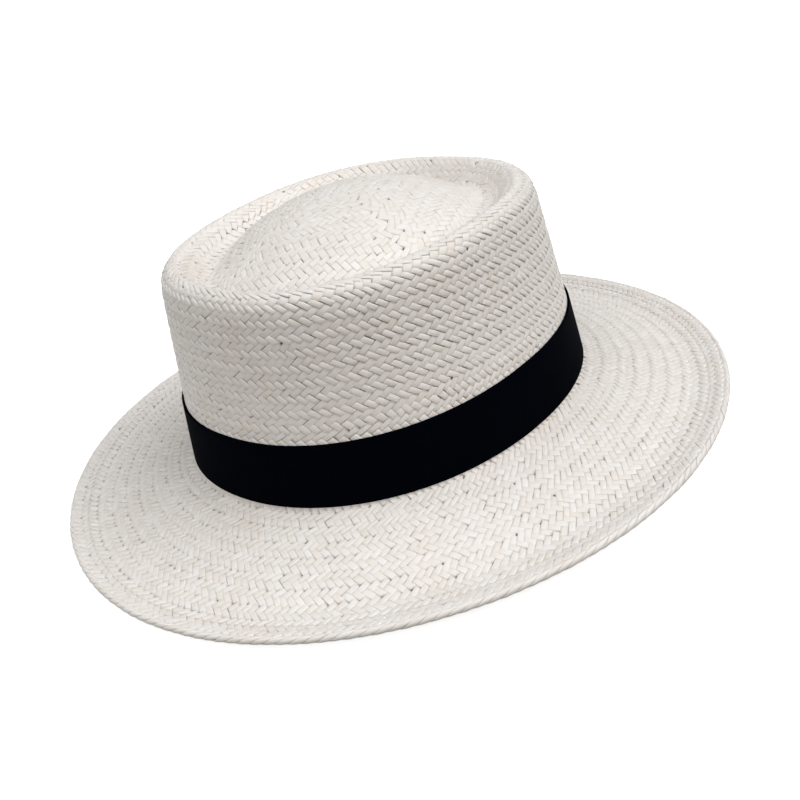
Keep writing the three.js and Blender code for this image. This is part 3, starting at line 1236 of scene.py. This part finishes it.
    def _button(self, tile: Tile) -> bpy.types.Object:
        """Returns the square patch of twill that the weave starts from, at the centre of the crown."""
        pitch = self.TWILL_PITCH
        steps = range(-self.TWILL_ROWS, self.TWILL_ROWS + 1)
        spots = [(i, j) for i in steps for j in steps if (i + j) % 2 == 0]
        u, v = tile.along * pitch * self.TWILL_LENGTH, tile.across * pitch * self.TWILL_WIDTH
        arch = 0.1 - 0.3 * (2 * tile.along) ** 6 - 0.1 * (2 * tile.across) ** 2
        height = np.where(tile.rim, -self.depth, arch)
        places, maps, tones = [], [], []
        for i, j in spots:
            cx, cy = i * pitch, j * pitch
            if math.hypot(cx, cy) > self.TWILL_REACH:
                continue
            across_x = ((i + j) // 2) % 2 == 0
            x, y = (cx + u, cy + v) if across_x else (cx - v, cy + u)
            turn = np.arctan2(y, x) / (2 * math.pi) + SquareStart.TURNED - SquareStart.CORNER
            places.append(self.surface.at(turn, np.hypot(x, y), height))
            apart = self.random.random() * MAP_SPREAD
            maps.append(np.stack([u + apart, v + apart], -1))
            tones.append(strand_tones(self.random, None, 0.6, self.tone_spread))
        # the rims of the twill's spans get painted shade
        painted_shade_amount = np.tile(self.plan.size("shade", 0.0) * tile.rim, (len(tones), 1))
        return lay_tiles("crown_centre_weave", tile, *map(np.array, (places, maps, tones)), painted_shade_amount)


@dataclass
class Hem:
    """The turned-under hem: strands that run slantwise round the edge and back below it, the spans that stand
    up from the rolled edge itself, and the seam."""

    surface: StrawSurface
    straw: bpy.types.Material
    thread: bpy.types.Material
    seam_inset: float = 6.8
    roll_inset: float = 3.2  # rolled edge to where the strands come out from under the weave
    sunk: float = 0.35  # how deep under the weave they start
    strand_pitch: float = 5.2
    strand_cover: float = 1.06
    strand_width: float = 2.65
    slant: float = -1.7  # how far round a strand runs for each millimetre outwards
    wrap_share: float = 0.9  # width of a span on the roll, as a share of the pitch
    wrap_reach: float = 0.7  # how far it runs past the roll at each end
    wrap_lift: float = 0.22
    wrap_drop: float = 0.2  # how far its sides are below its middle
    wrap_end_drop: float = 0.25  # the further drop of the sides at its ends
    shade: float = 0.5  # how dark the painted shade in the crevices between the strands is
    drop: float = 0.08  # how far a strand's sides are below its middle where it lies flat
    fold_drop: float = 0.25  # the same on the roll
    side_drop: float = 0.3  # further drop of the outermost sides
    end_depth: float = 1.3  # how far the ends are turned in
    stitch_length: float = 3.3
    stitch_gap: float = 0.5
    stitch_height: float = 0.18
    stitch_sunk: float = 0.15  # how far it is pulled into the straw
    stitch_depth: float = 0.6  # how far its rim is below the straw's outside
    thread_width: float = 0.3
    tone_spread: float = 0.08
    random: np.random.Generator = field(default_factory=lambda: np.random.default_rng(SEED + 2))

    ACROSS = [-0.5, -0.485, -0.42, 0.0, 0.42, 0.485, 0.5]
    STITCH_ALONG = [-0.5, -0.42, 0.0, 0.42, 0.5]
    STITCH_ACROSS = [-0.5, -0.25, 0.25, 0.5]

    def build(self) -> list[bpy.types.Object]:
        """Builds the hem's strands and its seam.

        Returns:
            The pieces.
        """
        strands, wraps, seam = self._strands(), self._wraps(), self._seam()
        strands.data.materials.append(self.straw)
        wraps.data.materials.append(self.straw)
        seam.data.materials.append(self.thread)
        return [strands, wraps, seam]

    @property
    def fold(self) -> float:
        """Returns the length of the half turn round the rolled edge."""
        return math.pi * self.surface.sizes.fold_radius

    def _strands(self) -> bpy.types.Object:
        """Returns the strands that run round the edge to the cut end below, laid side by side all round."""
        fold, inset = self.fold, self.roll_inset
        end = fold + self.surface.sizes.hem_width + 0.1
        stops = np.concatenate([
            np.array([-inset, 0.1 - inset, -1.2, -0.5]),
            np.linspace(0, fold, 9),
            np.linspace(fold, end, 5)[1:],
        ])
        tile = Tile.model(list((stops + inset) / (end + inset) - 0.5), self.ACROSS)
        past = (tile.along + 0.5) * (end + inset) - inset
        bent = np.exp(-(((past - fold / 2) / (0.75 * fold)) ** 2))
        drop = mix(self.drop, self.fold_drop, bent)
        lift = -self.sunk * np.clip((-past - 0.5) / 0.7, 0, 1)
        return self._lay("brim_hem", tile, past, self.strand_cover, drop, lift)

    def _wraps(self) -> bpy.types.Object:
        """Returns the spans over the rolled edge alone."""
        start, end = -self.wrap_reach, self.fold + self.wrap_reach
        tile = Tile.model(list(np.linspace(-0.5, 0.5, 13)), self.ACROSS)
        past = (tile.along + 0.5) * (end - start) + start
        to_end = np.abs(2 * tile.along)
        width = self.wrap_share * (1 - 0.3 * to_end**4)
        drop = self.wrap_drop + self.wrap_end_drop * to_end**6
        return self._lay("hem_wraps", tile, past, width, drop, self.wrap_lift * (1 - to_end**4))

    def _lay(
        self,
        name: str,
        tile: Tile,
        past: np.ndarray,
        width: np.ndarray | float,
        drop: np.ndarray | float,
        lift: np.ndarray | float,
    ) -> bpy.types.Object:
        """Lays strands side by side round the edge.

        Args:
            name: The piece's name.
            tile: The strand's tile.
            past: How far past the start of the rolled edge each of its points is.
            width: Share of the pitch that the strand covers.
            drop: How far its sides are below its middle.
            lift: How far its middle is over the straw.

        Returns:
            The piece.
        """
        edge = self.surface.marks["edge"]
        girth = self.surface.girth_at(edge)
        count = round(girth / self.strand_pitch)
        number = np.arange(count)[:, None] + scatter(self.random, count, 0.015)
        wide = width * (1 + scatter(self.random, count, 0.01))
        turn = (number + tile.across[None] * wide) / count + (self.slant * past / girth)[None]
        wander = scatter(self.random, count, 0.05)
        height = lift - drop * (2 * np.abs(tile.across)) ** 2 + wander
        height = np.where(np.abs(tile.across[None]) == 0.5, height - self.side_drop, height)
        height = np.where(np.abs(tile.along[None]) == 0.5, -self.end_depth, height)
        on_top = self.surface.at(turn, edge + np.minimum(past, 0)[None], height)
        rolled = self.surface.round_edge(turn, past[None], height)
        places = np.where((past > 0)[None, :, None], rolled, on_top)
        apart = self.random.random((count, 1)) * MAP_SPREAD
        along_map = past[None] * math.hypot(1, self.slant) + apart
        maps = np.stack([along_map, tile.across[None] * self.strand_width + apart], -1)
        tones = strand_tones(self.random, count, 0.5, self.tone_spread)
        # the rims of the strands get painted shade
        return lay_tiles(name, tile, places, maps, tones, np.tile(self.shade * tile.rim, (count, 1)))

    def _seam(self) -> bpy.types.Object:
        """Returns the line of machine stitches just inside the hem."""
        along = self.surface.marks["edge"] - self.seam_inset
        girth = self.surface.girth_at(along)
        count = round(girth / (self.stitch_length + self.stitch_gap))
        tile = Tile.model(self.STITCH_ALONG, self.STITCH_ACROSS)
        length = self.stitch_length * (1 + scatter(self.random, count, 0.06))
        sway = scatter(self.random, count, 0.1)
        turn = (np.arange(count)[:, None] + 0.5) / count + tile.along[None] * length / girth
        across = tile.across[None] * self.thread_width + sway
        arch = self.stitch_height * (1 - (2 * tile.along) ** 4) * (1 - (2 * tile.across) ** 2)
        lift = np.where(tile.rim, -self.stitch_depth, arch - self.stitch_sunk)
        places = self.surface.at(turn, along + across, lift[None])
        across_map = tile.across[None] * self.thread_width
        maps = np.stack(np.broadcast_arrays(tile.along[None] * length, across_map), -1)
        return lay_tiles("hem_stitches", tile, places, maps, np.full(count, 0.5), np.zeros(places.shape[:2]))


@dataclass
class RibbonBand:
    """The grosgrain ribbon round the foot of the crown, with its plain lap behind the right temple."""

    surface: StrawSurface
    grosgrain: bpy.types.Material
    height: float = 28.8
    thickness: float = 1.0
    gap: float = 0.3  # clearance between ribbon and straw
    foot: float = 1.1  # crown foot to the ribbon's lower edge
    lap_start: float = 150  # degrees round from the wearer's left
    lap_end: float = 164
    lap_ramp: float = 3  # degrees in which the upper end climbs onto the lower one
    lap_step: float = 0.6  # degrees in which its folded end drops off again
    selvedge: float = 0.35
    cut_length: float = 622.0  # girth of the crown at the ribbon, and the lap
    columns: int = 900
    face_rows: int = 6

    # inset from the ribbon's edge, share of its thickness
    SELVEDGE_ROUND = ((0.08, 0.8), (0.0, 0.45), (0.05, 0.0))

    def build(self) -> list[bpy.types.Object]:
        """Builds the ribbon.

        Returns:
            The ribbon alone, in a list.
        """
        section = self._section()
        corners = {corner.name: corner for corner in self.surface.sizes.corners()}
        foot, crest = corners["foot"], corners["crest"]

        def shape(turn: np.ndarray, row: np.ndarray) -> np.ndarray:
            """Returns the ribbon's points."""
            angle = turn * 2 * math.pi
            height, share = section[row, 0], section[row, 1]
            lift = self.gap + self.thickness * self._layers(np.degrees(angle)) * share
            return self._on_wall(foot, crest, angle, height, lift) * MM

        ribbon = rolled_grid("grosgrain_ribbon", self.columns, len(section) - 1, shape)
        self._map(ribbon.data)
        ribbon.data.materials.append(self.grosgrain)
        return [ribbon]

    def _section(self) -> np.ndarray:
        """Returns the ribbon's section as heights over the crown's foot and shares of its thickness."""
        low, high = self.foot, self.foot + self.height
        face = [(h, 1.0) for h in np.linspace(low + self.selvedge, high - self.selvedge, self.face_rows)]
        top = [(high - inset, share) for inset, share in self.SELVEDGE_ROUND]
        bottom = [(low + inset, share) for inset, share in reversed(self.SELVEDGE_ROUND)]
        return np.array(face + top + bottom + face[:1])

    def _layers(self, angle: np.ndarray) -> np.ndarray:
        """Returns the layers of ribbon at angles in degrees: two in the lap."""
        climb = np.clip((angle - self.lap_start + self.lap_ramp) / self.lap_ramp, 0, 1)
        fall = np.clip((angle - self.lap_end) / self.lap_step, 0, 1)
        return 1 + climb**2 * (3 - 2 * climb) - fall**2 * (3 - 2 * fall)

    def _on_wall(
        self, foot: Corner, crest: Corner, angle: np.ndarray, height: np.ndarray, lift: np.ndarray
    ) -> np.ndarray:
        """Gives points over the crown's slanting wall.

        Args:
            foot: The corner at the wall's foot.
            crest: The corner at its top.
            angle: Angles in radians from the wearer's left towards the back.
            height: Heights over the crown's foot.
            lift: Distances out from the straw.

        Returns:
            Points in millimetres.
        """

        def wall(angles: np.ndarray, heights: np.ndarray) -> np.ndarray:
            """Returns the wall's points."""
            share = (heights / crest.height)[..., None]
            return self.surface.oval(foot.values() + (crest.values() - foot.values()) * share, angles)

        point = wall(angle, height)
        around = wall(angle + 0.01, height) - wall(angle - 0.01, height)
        down = wall(angle, height - 1) - wall(angle, height + 1)
        normal = np.cross(down, around)
        return point + normal / np.linalg.norm(normal, axis=-1, keepdims=True) * lift[..., None]

    def _map(self, mesh: bpy.types.Mesh) -> None:
        """Gives the ribbon its map, in millimetres along it and up it."""
        points = mesh_points(mesh) / MM
        angle = np.arctan2(points[:, 1], points[:, 0])
        girth = math.pi * (self.surface.sizes.foot_half_length + self.surface.sizes.foot_half_width)
        set_strand_map(mesh, np.stack([angle / (2 * math.pi) * girth, points[:, 2]], -1))


@dataclass
class Studio:
    """The plain floor, the soft lights and the camera."""

    azimuth: float = 46.98  # where the camera stands, in degrees from the front towards the wearer's left
    elevation: float = 27.99  # how far it looks down, in degrees
    roll: float = -13.73  # how far it is turned about its line of sight, in degrees
    distance: float = 463.3  # from the camera to the point that it looks at
    aim: tuple[float, float, float] = (3.5, 2.15, 7.31)  # that point
    focal_length: float = 41.544
    sensor_width: float = 36.0
    clip_start: float = 20.0
    floor_size: float = 120000.0
    floor_drop: float = 0.2  # how far below the hat's lowest point it lies, so that no strand sinks into it
    floor_colour: str = "#fafafa"
    floor_glow: float = 0.75
    sky_colour: str = "#ffffff"
    sky_strength: float = 0.03
    lamp_spread: float = 50.0  # how wide a lamp looks from the hat, in degrees

    def build(self) -> None:
        """Builds all of the studio."""
        self._camera()
        self._floor()
        self._sky()
        warm, cool = "#fffbf5", "#fcfdff"
        self._lamp("near_window", warm, azimuth=20, elevation=32, strength=1.16)
        self._lamp("side_window", warm, azimuth=116, elevation=32, strength=1.05)
        self._lamp("back_skylight", cool, azimuth=138, elevation=63, strength=1.52)
        self._lamp("front_skylight", cool, azimuth=300, elevation=62, strength=0.7)
        bpy.context.scene.view_settings.view_transform = "Standard"

    def _camera(self) -> None:
        """Adds the camera."""
        azimuth, elevation, roll = (math.radians(x) for x in (self.azimuth, self.elevation, self.roll))
        flat = math.cos(elevation)
        back = Vector((math.sin(azimuth) * flat, -math.cos(azimuth) * flat, math.sin(elevation)))
        right = Vector((math.cos(azimuth), math.sin(azimuth), 0))
        up = back.cross(right)
        across = right * math.cos(roll) + up * math.sin(roll)
        upward = up * math.cos(roll) - right * math.sin(roll)
        data = bpy.data.cameras.new("camera")
        data.sensor_width = self.sensor_width
        data.lens = self.focal_length
        data.clip_start = self.clip_start * MM
        camera = bpy.data.objects.new("camera", data)
        turned = Matrix((across, upward, back)).transposed().to_4x4()
        camera.matrix_world = Matrix.Translation((Vector(self.aim) + back * self.distance) * MM) @ turned
        bpy.context.scene.collection.objects.link(camera)
        bpy.context.scene.camera = camera

    def _floor(self) -> None:
        """Adds the floor."""
        bpy.ops.object.select_all(action="DESELECT")
        place = (0, 0, -self.floor_drop * MM)
        bpy.ops.mesh.primitive_plane_add(size=self.floor_size * MM, location=place)
        floor = bpy.context.object
        floor.name = "studio_floor"
        material, _, shader = new_material("matt_white_floor")
        shader.inputs["Base Color"].default_value = linear(self.floor_colour)
        shader.inputs["Roughness"].default_value = 0.9
        shader.inputs["Specular IOR Level"].default_value = 0.0
        shader.inputs["Emission Color"].default_value = linear(self.floor_colour)
        shader.inputs["Emission Strength"].default_value = self.floor_glow
        floor.data.materials.append(material)
        floor.visible_diffuse = False

    def _sky(self) -> None:
        """Sets the backdrop that the camera sees past the floor, and the faint light that comes from it."""
        world = bpy.data.worlds.new("studio")
        world.use_nodes = True
        tree = world.node_tree
        backdrop = tree.nodes["Background"]
        backdrop.inputs["Color"].default_value = linear(self.sky_colour)
        glow = add_node(
            tree, "ShaderNodeBackground", {"Color": linear(self.sky_colour), "Strength": self.sky_strength}
        )
        seen = add_node(tree, "ShaderNodeLightPath").outputs["Is Camera Ray"]
        shown = add_node(
            tree,
            "ShaderNodeMixShader",
            {0: seen, 1: glow.outputs["Background"], 2: backdrop.outputs["Background"]},
        )
        tree.links.new(shown.outputs["Shader"], tree.nodes["World Output"].inputs["Surface"])
        bpy.context.scene.world = world

    def _lamp(self, name: str, colour: str, azimuth: float, elevation: float, strength: float) -> None:
        """Adds a wide, even light from far away.

        Args:
            name: The light's name.
            colour: Its colour.
            azimuth: Where it stands, in degrees from the hat's front towards the wearer's left.
            elevation: How high it stands, in degrees.
            strength: Its power on a surface that faces it, in watts per square metre.
        """
        data = bpy.data.lights.new(name, "SUN")
        data.angle = math.radians(self.lamp_spread)
        data.energy = strength
        data.color = linear(colour)[:3]
        side, height = math.radians(azimuth), math.radians(elevation)
        flat = math.cos(height)
        towards = Vector((math.sin(side) * flat, -math.cos(side) * flat, math.sin(height)))
        light = bpy.data.objects.new(name, data)
        light.rotation_euler = towards.to_track_quat("Z", "Y").to_euler()
        bpy.context.scene.collection.objects.link(light)


# ---- the hat ----------------------------------------------------------------------------------------------


def adopt(pieces: list[bpy.types.Object], node: str) -> None:
    """Makes pieces ride on the hat and stand for its solid.

    Args:
        pieces: The pieces, finished and in place.
        node: The solid that they stand for.
    """
    for piece in pieces:
        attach(piece, "root")
        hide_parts(node)
        piece.data.calc_loop_triangles()
        log.info("%s: %d triangles", piece.name, len(piece.data.loop_triangles))


def main() -> None:
    """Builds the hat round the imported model."""
    logging.basicConfig(level=logging.INFO, format="%(name)s %(message)s")
    sizes = HatSizes()
    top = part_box("straw_body")[1].z / MM
    surface = StrawSurface(sizes, top - sizes.crown_height - sizes.dome_rise)
    # shade is the core's material, with painted shade in its colour
    straw, shade = PaperStraw().build(), StrawCore().build()
    hem = Hem(surface, straw, SewingThread().build())
    ribbon = RibbonBand(surface, Grosgrain().build())
    seam = surface.marks["edge"] - hem.seam_inset
    plan = WeavePlan(surface)
    log.info("%d rings, %d spans", len(plan.rings), sum(len(ring.here) for ring in plan.rings))
    weave = WovenStraw(surface, plan, straw, shade, ribbon.foot, ribbon.foot + ribbon.height, seam)
    adopt(weave.build(), "straw_body")
    adopt(hem.build(), "straw_body")
    adopt(ribbon.build(), "ribbon_band")
    Studio().build()


if __name__ == "__main__":
    main()
